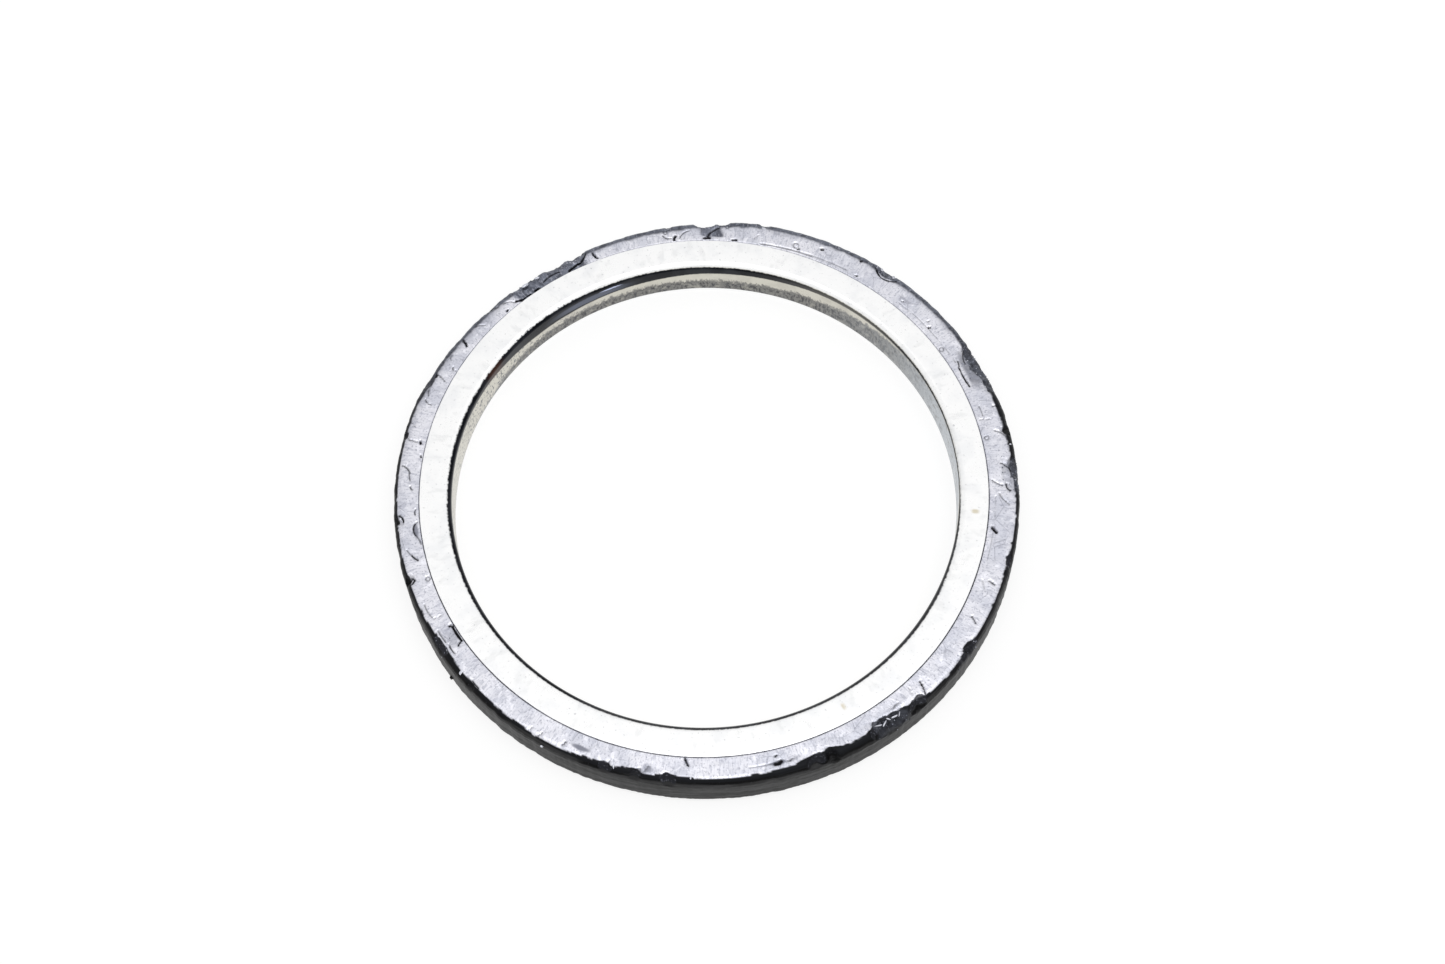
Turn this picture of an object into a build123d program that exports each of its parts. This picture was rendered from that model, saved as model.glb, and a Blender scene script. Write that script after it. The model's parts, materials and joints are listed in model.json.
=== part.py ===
from build123d import *

import os
from math import cos, radians, sin, sqrt

# Exhaust gasket: a metal sleeve folded to a C in section, with a pressed graphite ring in its channel.
# Millimetres, +Z up. The origin is on the bore's axis, half way through the thickness.
# Angles of the wear run anticlockwise from +X, seen from above.

os.makedirs("parts", exist_ok=True)

# Driving dimensions of the gasket
thickness = 3.6
bore_radius = 18.2
collar_width = 2.25
graphite_width = 2.05
sheet = 0.3
bend_radius = 0.5
seam = 0.08
rim_rounding = 0.65
rim_shift = 0.1

# The rim's rounding stays under this share of the thickness
rounding_share = 0.4

# The side of the graphite that wear has flattened: its middle, its depth there and half the angle that it spans
worn_angle = 122
worn_depth = 0.62
worn_half_angle = 41.8

# Chips in the graphite's upper edge: angle, length along the rim, reach across the face, reach down the wall,
# and how far the scoop is turned from pointing straight out
chips = [
    (1, 2.2, 0.8, 0.6, 25),
    (3.5, 1.4, 1.0, 0.6, -15),
    (9.5, 1.0, 0.9, 0.6, 20),
    (20, 1.6, 0.7, 0.6, -30),
    (24, 3.2, 1.1, 0.7, 20),
    (28, 2.0, 1.1, 0.7, -20),
    (50.5, 2.2, 0.9, 0.7, 10),
    (77, 1.4, 0.8, 0.6, 15),
    (85.5, 1.8, 0.6, 1.0, -25),
    (88.5, 2.4, 0.7, 1.3, 15),
    (96, 1.2, 0.6, 0.6, 30),
    (115.5, 2.6, 0.9, 1.0, 20),
    (120, 3.2, 0.9, 1.0, -10),
    (125, 2.2, 0.8, 0.7, 25),
    (129, 2.2, 0.8, 0.6, -25),
    (136, 2.4, 0.6, 0.7, -25),
    (155, 2.8, 0.7, 0.6, 20),
    (168, 1.4, 0.6, 0.6, -15),
    (185, 1.2, 0.8, 0.6, 30),
    (198, 1.2, 0.8, 0.6, -25),
    (212, 3.0, 0.7, 0.6, 15),
    (222, 1.2, 0.7, 0.6, -20),
    (251, 1.8, 0.7, 0.6, -10),
    (256, 1.4, 0.8, 0.6, 25),
    (262.5, 2.0, 0.8, 0.6, -20),
    (288.5, 1.8, 1.0, 0.7, 20),
    (292, 1.2, 1.1, 0.8, -10),
    (303.5, 3.6, 1.2, 1.0, -20),
    (309.5, 2.2, 0.9, 0.8, 25),
    (324, 1.0, 0.7, 0.7, -10),
    (343, 1.8, 0.6, 0.6, 15),
]

# A scoop's length is this many times the chip's two reaches together, so it clears the rim at both ends
scoop_length = 4

# Sizes that follow from the driving ones
top = thickness / 2
collar_radius = bore_radius + collar_width
rim_radius = collar_radius + graphite_width
rim_inner_radius = collar_radius + seam
channel_radius = bore_radius + sheet
channel_top = top - sheet
channel_corner = bend_radius - sheet
sheet_middle = top - sheet / 2
rim_edge = min(rim_rounding, rounding_share * thickness)

# The web runs on into the rim by the width of the seam, so that they are one solid
web_width = rim_inner_radius + seam - channel_radius

# The worn side is an arc through the two ends of the wear, flatter than the rim
worn_half_length = rim_radius * sin(radians(worn_half_angle))
rim_sagitta = rim_radius - sqrt(rim_radius**2 - worn_half_length**2)
worn_sagitta = rim_sagitta - worn_depth
worn_radius = (worn_half_length**2 + worn_sagitta**2) / (2 * worn_sagitta)
worn_offset = worn_radius - (rim_radius - worn_depth)
worn_centre = (-worn_offset * cos(radians(worn_angle)), -worn_offset * sin(radians(worn_angle)))


def rim_reach(angle):
    """How far the graphite's outline is from the bore's axis at an angle."""
    turn = radians(angle - worn_angle)
    round_reach = rim_radius + rim_shift * cos(radians(angle))
    worn_reach = sqrt(worn_radius**2 - (worn_offset * sin(turn)) ** 2) - worn_offset * cos(turn)
    return min(round_reach, worn_reach)


def scoop_plane(angle, across, down, radius, turn):
    """Where a round tool of a radius lies that takes off a corner of the rim, with Z along its slope."""
    slope = sqrt(across**2 + down**2)
    out = rim_reach(angle) - across / 2 + radius * down / slope
    up = top - down / 2 + radius * across / slope
    reach = radians(angle)
    heading = radians(angle + turn)
    return Plane(
        origin=(out * cos(reach), out * sin(reach), up),
        x_dir=(-sin(heading), cos(heading), 0),
        z_dir=(across * cos(heading), across * sin(heading), -down),
    )


with BuildPart() as sleeve:
    with BuildSketch(Plane.XZ):
        with BuildLine():
            FilletPolyline(
                (collar_radius, sheet_middle),
                (bore_radius + sheet / 2, sheet_middle),
                (bore_radius + sheet / 2, -sheet_middle),
                (collar_radius, -sheet_middle),
                radius=bend_radius - sheet / 2,
            )
        trace(line_width=sheet)
    revolve(axis=Axis.Z)
sleeve.part.label = "sleeve"
export_step(sleeve.part, "parts/sleeve.step")


with BuildPart() as graphite_ring:
    # The rim that stands out past the collars, flush with both of them
    with BuildSketch(Plane.XY.offset(-top)):
        with Locations((rim_shift, 0)):
            Circle(rim_radius)
        with Locations(worn_centre):
            Circle(worn_radius, mode=Mode.INTERSECT)
    extrude(amount=thickness)
    fillet(graphite_ring.faces().filter_by(Axis.Z).edges(), rim_edge)
    with BuildSketch(Plane.XY.offset(-top)):
        Circle(rim_inner_radius)
    extrude(amount=thickness, mode=Mode.SUBTRACT)

    # The web that fills the sleeve's channel
    with BuildSketch(Plane.XZ) as web_section:
        with Locations((channel_radius, 0)):
            Rectangle(web_width, 2 * channel_top, align=(Align.MIN, Align.CENTER))
        chamfer(web_section.vertices().group_by(Axis.X)[0], channel_corner)
    revolve(axis=Axis.Z)

    for angle, length, across, down, turn in chips:
        depth = across * down / sqrt(across**2 + down**2)
        radius = (length**2 / 4 + depth**2) / (2 * depth)
        with Locations(scoop_plane(angle, across, down, radius, turn)):
            Cylinder(radius, scoop_length * (across + down), mode=Mode.SUBTRACT)
graphite_ring.part.label = "graphite_ring"
export_step(graphite_ring.part, "parts/graphite_ring.step")
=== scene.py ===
import json
import math
from types import SimpleNamespace

import bmesh
import bpy
import numpy as np
from mathutils import Matrix, Vector, noise


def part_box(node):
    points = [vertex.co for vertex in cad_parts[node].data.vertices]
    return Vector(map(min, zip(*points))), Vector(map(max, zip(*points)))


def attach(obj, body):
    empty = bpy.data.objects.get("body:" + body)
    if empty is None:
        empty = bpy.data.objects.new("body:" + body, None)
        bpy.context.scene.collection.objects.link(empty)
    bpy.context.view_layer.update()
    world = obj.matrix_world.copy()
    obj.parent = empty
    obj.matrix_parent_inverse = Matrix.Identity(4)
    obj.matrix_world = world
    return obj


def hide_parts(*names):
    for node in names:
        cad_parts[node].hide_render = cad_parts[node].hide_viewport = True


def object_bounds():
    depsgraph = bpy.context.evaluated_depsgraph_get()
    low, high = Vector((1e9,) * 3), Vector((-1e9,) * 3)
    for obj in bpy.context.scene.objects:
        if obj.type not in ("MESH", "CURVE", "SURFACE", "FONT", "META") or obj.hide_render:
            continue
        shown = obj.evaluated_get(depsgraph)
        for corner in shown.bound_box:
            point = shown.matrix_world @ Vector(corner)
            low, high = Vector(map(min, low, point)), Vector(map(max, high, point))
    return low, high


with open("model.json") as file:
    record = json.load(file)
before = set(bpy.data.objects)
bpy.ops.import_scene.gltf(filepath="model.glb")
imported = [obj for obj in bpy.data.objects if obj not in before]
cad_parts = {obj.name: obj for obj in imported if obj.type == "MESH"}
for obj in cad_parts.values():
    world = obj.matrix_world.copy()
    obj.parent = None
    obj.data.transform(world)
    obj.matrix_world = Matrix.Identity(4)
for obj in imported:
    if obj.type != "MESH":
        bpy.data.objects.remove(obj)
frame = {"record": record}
cad_low, cad_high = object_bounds()

# Exhaust gasket: a tin-plated steel sleeve folded round a pressed graphite ring.
# Shapes are worked out in millimetres and turned to metres as they are made.
# Angles run anticlockwise from +X, seen from above.
# "Out" is how far a point is from the seam, along the surface.

MM = 0.001


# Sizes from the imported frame

sleeve_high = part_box("sleeve")[1]
graphite_low, graphite_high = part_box("graphite_ring")
pipe_bore = next(mount for mount in frame["record"]["mounts"] if mount["name"] == "pipe_bore")
bore_radius = pipe_bore["dims"]["r_mm"]
collar_radius = sleeve_high.x / MM
top = sleeve_high.z / MM
rim_radius = -graphite_low.y / MM
rim_shift = graphite_high.x / MM - rim_radius

# Sizes that repeat the part's own source
sheet = 0.3
bend_radius = 0.5
seam = 0.08
rim_rounding = 0.65
worn_angle = 122
worn_depth = 0.62
worn_half_angle = 41.8

# The seam shows as a hairline: the collars' edges come out to this far from the graphite
hairline = 0.06

# The seam comes in a little on one side: where, how far, and half its spread in degrees
seam_dip_angle = 22
seam_dip = 0.18
seam_dip_spread = 75

seam_radius = collar_radius + seam
channel_radius = bore_radius + sheet
channel_top = top - sheet
middle_radius = (seam_radius + rim_radius) / 2


# What wear has done to the graphite

# Chips in the upper edge: angle, length along the rim, reach across the face, reach down the wall, slant
chips = [
    (1, 2.2, 0.8, 0.6, 25),
    (3.5, 1.4, 1.0, 0.6, -15),
    (9.5, 1.0, 0.9, 0.6, 20),
    (20, 1.6, 0.7, 0.6, -30),
    (24, 3.2, 1.1, 0.7, 20),
    (28, 2.0, 1.1, 0.7, -20),
    (50.5, 2.2, 0.9, 0.7, 10),
    (77, 1.4, 0.8, 0.6, 15),
    (85.5, 1.8, 0.6, 1.0, -25),
    (88.5, 2.4, 0.7, 1.3, 15),
    (96, 1.2, 0.6, 0.6, 30),
    (115.5, 2.6, 0.9, 1.0, 20),
    (120, 3.2, 0.9, 1.0, -10),
    (125, 2.2, 0.8, 0.7, 25),
    (129, 2.2, 0.8, 0.6, -25),
    (136, 2.4, 0.6, 0.7, -25),
    (155, 2.8, 0.7, 0.6, 20),
    (168, 1.4, 0.6, 0.6, -15),
    (185, 1.2, 0.8, 0.6, 30),
    (198, 1.2, 0.8, 0.6, -25),
    (212, 3.0, 0.7, 0.6, 15),
    (222, 1.2, 0.7, 0.6, -20),
    (251, 1.8, 0.7, 0.6, -10),
    (256, 1.4, 0.8, 0.6, 25),
    (262.5, 2.0, 0.8, 0.6, -20),
    (288.5, 1.8, 1.0, 0.7, 20),
    (292, 1.2, 1.1, 0.8, -10),
    (303.5, 3.6, 1.2, 1.0, -20),
    (309.5, 2.2, 0.9, 0.8, 25),
    (324, 1.0, 0.7, 0.7, -10),
    (343, 1.8, 0.6, 0.6, 15),
]

# Where the pressed skin ends round the ring: angle, how far past the start of the rim's rounding
skin_edges = [
    (0, 0.12), (18, 0.08), (21, -0.05), (29, -0.02), (32, 0.14), (46, 0.12), (49, 0.0), (53, 0.0), (56, 0.1),
    (76, 0.1), (84, 0.0), (90, 0.05), (112, 0.12), (132, 0.15), (150, 0.2), (156, 0.1), (160, 0.25),
    (175, 0.35), (190, 0.35), (206, 0.28), (209, 0.12), (216, 0.1), (219, 0.2), (222, 0.12), (226, 0.18),
    (230, 0.28), (234, 0.2), (236, 0.34), (240, 0.34), (245, 0.24), (247, 0.14), (250, 0.06), (252.3, 0.16),
    (254, -0.04), (256, -0.1), (257.5, 0.15), (259.5, 0.12), (261, -0.06), (263, -0.06), (266, 0.08),
    (270, 0.19), (275, 0.15), (280, 0.1), (285, 0.0), (287, -0.18), (288.5, -0.24), (290, -0.14),
    (291.8, -0.38), (293, -0.2), (295, -0.05), (297, 0.02), (299, -0.05), (301, -0.24), (303.5, -0.36),
    (305, -0.36), (307, -0.26), (309, -0.05), (311, 0.1), (313, 0.23), (315, 0.32), (318, 0.38), (321, 0.28),
    (322.6, 0.22), (323.4, -0.05), (325, 0.0), (326, 0.23), (330, 0.32), (338, 0.3), (343, 0.17), (346, 0.3),
    (350, 0.36), (356, 0.28),
]

# Crushed stretches: first angle, last angle, how near to the seam they come, depth, how slaty, how crumbly
crushed = [
    (-3.5, 4.5, 0.95, 0.05, 0.35, 0.8),
    (18.0, 30.0, 1.3, 0.06, 0.35, 0.9),
    (20.5, 28.5, 0.6, 0.03, 0.45, 0.5),
    (25.5, 29.5, 0.9, 0.04, 0.4, 0.6),
    (47.5, 53.8, 1.3, 0.05, 0.5, 0.5),
    (84.5, 90.8, 0.15, 0.06, 0.75, 0.4),
    (113.5, 131.2, -0.3, 0.07, 0.85, 0.6),
    (209.0, 214.4, -0.1, 0.02, 0.1, 0.2),
    (300.0, 308.5, 0.85, 0.04, 0.25, 0.3),
    (319.5, 328.0, 1.4, 0.02, 0.2, 0.3),
]

# Cracks, nicks and scratches: from an angle and out, to an angle and out, bow sideways, width, depth
cracks = [
    (1.6, 1.7, 3.2, 0.95, 0.1, 0.12, 0.10),
    (8.6, 1.7, 10.3, 1.0, 0.1, 0.14, 0.07),
    (12.8, 1.0, 13.2, 0.2, 0.03, 0.07, 0.04),
    (14.0, 0.52, 16.2, 0.5, 0.03, 0.10, 0.06),
    (15.0, 1.9, 15.4, 1.45, 0.05, 0.12, 0.08),
    (21.0, 0.5, 25.6, 0.5, -0.05, 0.12, 0.12),
    (25.6, 0.5, 27.2, 0.7, 0.04, 0.10, 0.10),
    (25.8, 1.1, 28.6, 1.6, -0.15, 0.12, 0.08),
    (27.0, 0.5, 45.0, 0.4, 0.02, 0.07, 0.04),
    (36.4, 0.65, 36.6, 0.55, 0.0, 0.15, 0.12),
    (37.6, 0.95, 37.8, 0.8, 0.0, 0.10, 0.08),
    (44.4, 0.7, 44.6, 0.6, 0.0, 0.10, 0.08),
    (48.4, 1.7, 50.5, 1.25, -0.1, 0.12, 0.12),
    (50.5, 1.25, 53.2, 1.65, -0.15, 0.14, 0.14),
    (55.4, 0.32, 55.8, 0.26, 0.0, 0.14, 0.12),
    (56.4, 1.65, 56.6, 1.5, 0.0, 0.16, 0.14),
    (58.0, 0.3, 66.0, 0.24, 0.02, 0.16, 0.02),
    (64.4, 1.1, 64.8, 1.05, 0.0, 0.17, 0.15),
    (66.0, 0.24, 77.0, 0.1, 0.02, 0.16, 0.05),
    (69.0, 0.5, 69.3, 0.42, 0.0, 0.13, 0.14),
    (77.6, 0.85, 78.6, 0.4, 0.03, 0.08, 0.05),
    (82.2, 0.14, 83.0, 0.1, 0.0, 0.17, 0.18),
    (87.8, 0.2, 88.9, 0.16, 0.0, 0.19, 0.22),
    (86.0, 1.1, 88.2, 0.35, 0.1, 0.14, 0.10),
    (92.0, 0.85, 94.0, 0.25, 0.12, 0.10, 0.08),
    (94.8, 0.45, 95.2, 0.12, 0.04, 0.18, 0.16),
    (95.8, 0.3, 97.4, 0.65, -0.14, 0.10, 0.08),
    (112.1, 0.75, 111.6, 0.08, 0.08, 0.15, 0.22),
    (113.6, 0.8, 115.6, 0.3, -0.05, 0.15, 0.14),
    (115.6, 0.3, 118.2, 0.08, 0.05, 0.16, 0.16),
    (120.0, 0.4, 124.0, 0.34, 0.1, 0.13, 0.08),
    (125.6, 0.06, 126.6, 0.08, 0.0, 0.17, 0.20),
    (127.6, 0.05, 130.0, 0.08, 0.02, 0.10, 0.16),
    (130.0, 0.1, 131.1, 0.28, -0.02, 0.19, 0.24),
    (131.6, 0.25, 133.4, 0.75, 0.12, 0.09, 0.06),
    (133.8, 0.16, 134.1, 0.1, 0.0, 0.12, 0.12),
    (139.4, 0.5, 141.2, 1.05, 0.06, 0.09, 0.06),
    (144.6, 1.1, 145.3, 0.5, -0.05, 0.15, 0.22),
    (148.6, 0.95, 149.6, 0.8, 0.1, 0.09, 0.05),
    (150.8, 0.4, 151.2, 0.06, 0.12, 0.10, 0.09),
    (153.6, 1.25, 154.0, 1.15, 0.0, 0.19, 0.16),
    (153.6, 1.1, 154.3, 0.4, -0.05, 0.10, 0.07),
    (157.0, 1.2, 158.4, 1.0, 0.0, 0.09, 0.07),
    (159.4, 1.1, 160.2, 0.5, 0.06, 0.10, 0.08),
    (164.6, 1.4, 165.4, 1.1, 0.05, 0.08, 0.06),
    (168.2, 1.4, 168.6, 0.6, 0.05, 0.10, 0.08),
    (168.5, 0.4, 168.8, 0.34, 0.0, 0.16, 0.16),
    (171.5, 0.14, 171.8, 0.1, 0.0, 0.12, 0.14),
    (173.9, 1.4, 175.4, 0.75, -0.12, 0.11, 0.09),
    (175.4, 0.75, 177.0, 0.66, 0.05, 0.10, 0.08),
    (178.4, 0.6, 179.0, 0.45, 0.06, 0.10, 0.08),
    (184.3, 1.5, 185.8, 1.15, -0.14, 0.15, 0.16),
    (183.4, 0.2, 184.6, 0.24, 0.06, 0.10, 0.08),
    (186.2, 0.14, 187.4, 0.46, 0.08, 0.11, 0.10),
    (187.4, 0.46, 188.8, 0.4, 0.03, 0.11, 0.10),
    (188.8, 0.4, 191.0, 0.08, -0.06, 0.10, 0.07),
    (191.7, 1.15, 192.9, 0.9, 0.02, 0.10, 0.08),
    (192.9, 0.9, 194.2, 0.55, 0.03, 0.13, 0.14),
    (197.4, 1.5, 198.0, 1.15, -0.05, 0.14, 0.12),
    (198.0, 1.15, 198.7, 1.5, -0.05, 0.14, 0.12),
    (203.4, 1.12, 206.4, 1.05, 0.06, 0.09, 0.05),
    (206.8, 1.0, 206.9, 0.45, 0.06, 0.09, 0.06),
    (209.4, 1.12, 212.2, 1.08, 0.03, 0.09, 0.07),
    (213.0, 1.0, 215.0, 1.02, 0.05, 0.10, 0.08),
    (209.6, 0.3, 209.8, 0.06, 0.0, 0.15, 0.14),
    (209.8, 0.1, 213.4, 0.1, 0.03, 0.17, 0.14),
    (213.6, 0.1, 214.1, 0.52, 0.05, 0.13, 0.12),
    (221.4, 1.4, 223.2, 1.42, -0.05, 0.13, 0.14),
    (235.4, 1.5, 235.8, 1.15, 0.02, 0.09, 0.06),
    (237.4, 1.55, 237.9, 1.15, 0.03, 0.10, 0.07),
    (242.0, 1.35, 242.5, 1.0, 0.03, 0.11, 0.09),
    (251.6, 1.6, 251.4, 1.15, -0.05, 0.10, 0.10),
    (257.6, 1.5, 258.4, 0.9, 0.0, 0.14, 0.04),
    (265.6, 0.55, 264.9, 0.04, 0.0, 0.12, 0.24),
    (277.0, 0.93, 281.0, 0.9, 0.02, 0.09, 0.04),
    (281.6, 1.0, 282.8, 0.9, 0.05, 0.26, 0.12),
    (281.9, 0.48, 282.2, 0.42, 0.0, 0.15, 0.10),
    (284.0, 1.0, 284.8, 0.9, 0.05, 0.12, 0.06),
    (306.0, 0.85, 307.4, 0.75, -0.05, 0.10, 0.06),
    (310.4, 0.95, 310.8, 0.4, 0.03, 0.08, 0.04),
    (312.3, 1.5, 313.3, 0.62, 0.03, 0.11, 0.14),
    (329.0, 1.3, 329.9, 0.82, 0.03, 0.10, 0.09),
    (335.6, 0.95, 337.8, 0.45, 0.0, 0.07, 0.04),
    (337.6, 1.4, 338.0, 0.95, 0.02, 0.11, 0.09),
    (342.0, 0.38, 356.0, 0.42, 0.02, 0.07, 0.03),
    (348.3, 0.65, 349.2, 0.33, 0.0, 0.19, 0.24),
    (354.5, 1.4, 356.6, 0.7, -0.08, 0.10, 0.07),
    (357.4, 1.5, 358.8, 1.2, -0.1, 0.13, 0.12),
    (358.4, 0.95, 359.6, 0.2, -0.05, 0.10, 0.09),
]

# Ring marks pressed into the face: angle, out, radius, depth
ring_marks = [
    (9.0, 0.32, 0.16, 0.03),
    (25.2, 1.6, 0.14, 0.04),
    (31.0, 0.2, 0.16, 0.03),
    (69.9, 0.68, 0.2, 0.07),
    (84.3, 1.2, 0.12, 0.04),
    (96.8, 0.85, 0.13, 0.04),
    (198.7, 0.24, 0.15, 0.04),
]

# Dull smudges on the pressed face: angle, out, half length along the rim, half width, strength
smudges = [
    (23.5, 1.1, 2.2, 0.7, 0.5),
    (50.5, 1.7, 2.0, 0.4, 0.5),
    (73.5, 1.3, 1.2, 0.3, 0.4),
    (87.0, 0.7, 1.2, 0.7, 0.7),
    (104, 0.95, 3.2, 0.25, 0.4),
    (137, 1.0, 2.2, 0.3, 0.45),
    (156, 1.2, 1.6, 0.25, 0.6),
    (188, 0.3, 1.0, 0.25, 0.7),
    (211.8, 0.5, 1.3, 0.7, 0.35),
    (245.6, 0.97, 1.0, 0.24, 0.8),
    (258.4, 1.1, 0.5, 0.5, 0.6),
    (282.4, 0.95, 1.0, 0.26, 0.8),
    (285.0, 0.9, 0.8, 0.3, 0.5),
    (306.5, 0.8, 1.6, 0.25, 0.3),
    (301.5, 0.95, 1.4, 0.3, 0.3),
]

# Loose flakes that still cling to it: angle, out, length, width, turn, and how pale each one is
clinging_flakes = [
    (7.0, 1.85, 0.36, 0.2, 80, 0.7),
    (49.4, 1.85, 0.36, 0.24, 70, 0.5),
    (52.2, 1.85, 0.30, 0.22, 20, 0.5),
    (64.0, 1.35, 0.40, 0.24, 60, 1.0),
    (66.4, 1.4, 0.34, 0.24, 20, 1.0),
    (69.5, 0.7, 0.26, 0.16, 70, 0.9),
    (76.9, 1.4, 0.52, 0.32, 40, 0.6),
    (127.4, 0.95, 0.60, 0.28, 0, 0.7),
    (124.6, 0.9, 0.45, 0.2, 20, 0.6),
    (218.6, 1.45, 0.50, 0.32, 60, 1.0),
    (238.8, 2.05, 0.24, 0.18, 0, 1.0),
    (252.3, 1.36, 0.55, 0.16, 78, 1.0),
    (266.2, 1.42, 0.26, 0.18, 80, 1.0),
    (301.8, 1.25, 0.50, 0.10, 20, 0.7),
    (303.0, 1.35, 0.60, 0.12, -30, 0.9),
    (304.0, 1.25, 0.35, 0.10, 50, 0.7),
    (305.2, 1.35, 0.50, 0.12, 10, 0.8),
    (306.2, 1.40, 0.40, 0.10, -40, 0.7),
    (215.8, 4.25, 0.40, 0.24, 80, 0.0),
]


# Marks on the sleeve from wear and making, with painted reflections, highlights and shade

# Round the bore: angle, height that the mottled band at its foot reaches (darkened as a painted reflection of
# the contact shade), how pale that band is, where the painted dark reflection on the fold starts and ends
# below the face, and how strong it is. A start under 0 lets it run right up to the flat of the collar
bore_marks = [
    (0, 1.5, 1.0, 0.20, 0.42, 0.9),
    (20, 1.4, 0.9, 0.20, 0.45, 0.9),
    (30, 1.4, 0.6, 0.20, 0.50, 0.9),
    (36, 1.2, 0.4, 0.20, 0.55, 0.9),
    (42, 0.9, 0.25, 0.20, 0.60, 0.8),
    (50, 0.6, 0.15, 0.20, 0.60, 0.75),
    (56, 0.3, 0.1, 0.20, 0.65, 0.75),
    (62, 0.0, 0.0, 0.20, 0.75, 0.8),
    (65, 0.1, 0.0, 0.20, 0.80, 0.85),
    (70, -0.2, 0.0, 0.20, 0.95, 0.9),
    (80, -0.3, 0.0, 0.20, 1.05, 1.0),
    (90, -0.25, 0.0, 0.20, 1.10, 1.0),
    (102, -0.2, 0.0, 0.18, 1.35, 1.0),
    (112, -0.3, 0.0, 0.18, 1.45, 1.0),
    (122, -0.3, 0.0, 0.12, 1.55, 1.0),
    (132, -0.35, 0.0, 0.08, 1.50, 1.0),
    (142, -0.6, 0.0, 0.08, 1.20, 1.0),
    (150, -1.2, 0.3, 0.05, 0.85, 1.0),
    (160, -1.4, 0.3, 0.02, 0.65, 1.0),
    (200, -1.6, 0.5, -0.02, 0.55, 1.0),
    (235, -1.7, 0.5, -0.04, 0.45, 1.0),
    (248, -1.6, 0.5, -0.04, 0.45, 0.9),
    (325, -1.4, 0.6, -0.04, 0.45, 0.9),
    (345, 0.0, 0.8, 0.05, 0.40, 0.9),
]

# Small marks on it: what kind, angle, half its spread in degrees. The glint and the sheen are painted
# highlights in the fold's painted dark reflection
sleeve_spots = [
    ("glint", 111.5, 4.5),
    ("sheen", 117, 17),
    ("brown", 146.5, 5.0),
    ("rusty", 298.2, 0.6),
    ("rusty", 352.3, 0.9),
    ("specked", 150, 45),
    ("specked", 190, 14),
]


# Helpers

def hex_colour(code):
    """An sRGB hex colour as the linear colour that a shader takes."""
    shares = [int(code[i:i + 2], 16) / 255 for i in (1, 3, 5)]
    linear = [share / 12.92 if share <= 0.04045 else ((share + 0.055) / 1.055) ** 2.4 for share in shares]
    return (*linear, 1.0)


def add_node(tree, kind, sockets=None, **settings):
    """Adds a node. Its sockets are given by name or number, each as a colour's hex code, a value or another
    node's output."""
    made = tree.nodes.new(kind)
    for name, value in settings.items():
        setattr(made, name, value)
    for name, value in (sockets or {}).items():
        if isinstance(value, bpy.types.NodeSocket):
            tree.links.new(value, made.inputs[name])
        elif isinstance(value, str) and value.startswith("#"):
            made.inputs[name].default_value = hex_colour(value)
        else:
            made.inputs[name].default_value = value
    return made


def ease(low, high, value):
    """0 below low, 1 above high, and a smooth rise between them."""
    share = np.clip((value - low) / (high - low), 0, 1)
    return share * share * (3 - 2 * share)


def grain(points, size, seed):
    """Smooth noise from -1 to 1 at points in millimetres, with lumps of about a size."""
    away = Vector((17.3, -9.1, 5.7)) * seed
    values = [noise.noise(Vector(point) / size + away) for point in points.reshape(-1, 3)]
    return np.array(values).reshape(points.shape[:-1])


def round_about(marks, angle):
    """Each column after the angles in a list of marks, as it runs round the ring from mark to mark."""
    places, *columns = zip(*marks)
    return [np.interp(np.degrees(angle), places, column, period=360) for column in columns]


def degrees_past(angle, degrees):
    """How far each angle is past a place on the ring, in degrees, the short way round."""
    return (np.degrees(angle) - degrees + 180) % 360 - 180


def mesh_object(name, mesh, material):
    made = bpy.data.objects.new(name, mesh)
    mesh.materials.clear()
    mesh.materials.append(material)
    bpy.context.scene.collection.objects.link(made)
    return made


def store_marks(mesh, marks):
    """Keeps values for each point of a mesh under their names, for its material."""
    for name, values in marks.items():
        attribute = mesh.attributes.new(name, "FLOAT", "POINT")
        attribute.data.foreach_set("value", np.asarray(values, np.float32).ravel())


def new_tree(name, **inputs):
    """A geometry node tree with named inputs, and the sockets that it is given and gives back."""
    tree = bpy.data.node_groups.new(name, "GeometryNodeTree")
    tree.interface.new_socket(name="Geometry", in_out="INPUT", socket_type="NodeSocketGeometry")
    for label, kind in inputs.items():
        tree.interface.new_socket(name=label, in_out="INPUT", socket_type="NodeSocket" + kind)
    tree.interface.new_socket(name="Geometry", in_out="OUTPUT", socket_type="NodeSocketGeometry")
    return tree, tree.nodes.new("NodeGroupInput").outputs, tree.nodes.new("NodeGroupOutput").inputs


def grow(piece, tree, **values):
    """Runs a tree on a piece with named values, and makes the result the piece's own plain mesh."""
    modifier = piece.modifiers.new(tree.name, "NODES")
    modifier.node_group = tree
    for item in tree.interface.items_tree:
        if item.in_out == "INPUT" and item.name in values:
            modifier[item.identifier] = values[item.name]
    keep_mesh(piece)


def keep_mesh(piece):
    """Makes what the piece's modifiers give its own plain mesh."""
    evaluated = piece.evaluated_get(bpy.context.evaluated_depsgraph_get())
    piece.data = bpy.data.meshes.new_from_object(evaluated)
    piece.modifiers.clear()


# The graphite ring's shape

# Steps of its mesh round the ring, and across its face, its rounded edge, its wall and its underside
STEPS = 1500
TOP_STEPS = 24
ROUNDING_STEPS = 8
WALL_STEPS = 13
UNDER_STEPS = 3

# Sizes of the lumps in its grain, of the bends in its rim and of the nicks in them
COARSE = 1.3
MEDIUM = 0.5
FINE = 0.22
BEND = 0.9
NICK = 0.35


def seam_reach(angle):
    """How far the seam is from the bore's axis, with the side where it comes in."""
    closeness = np.cos(angle - math.radians(seam_dip_angle))
    return seam_radius - seam_dip * ease(math.cos(math.radians(seam_dip_spread)), 1, closeness)


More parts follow.
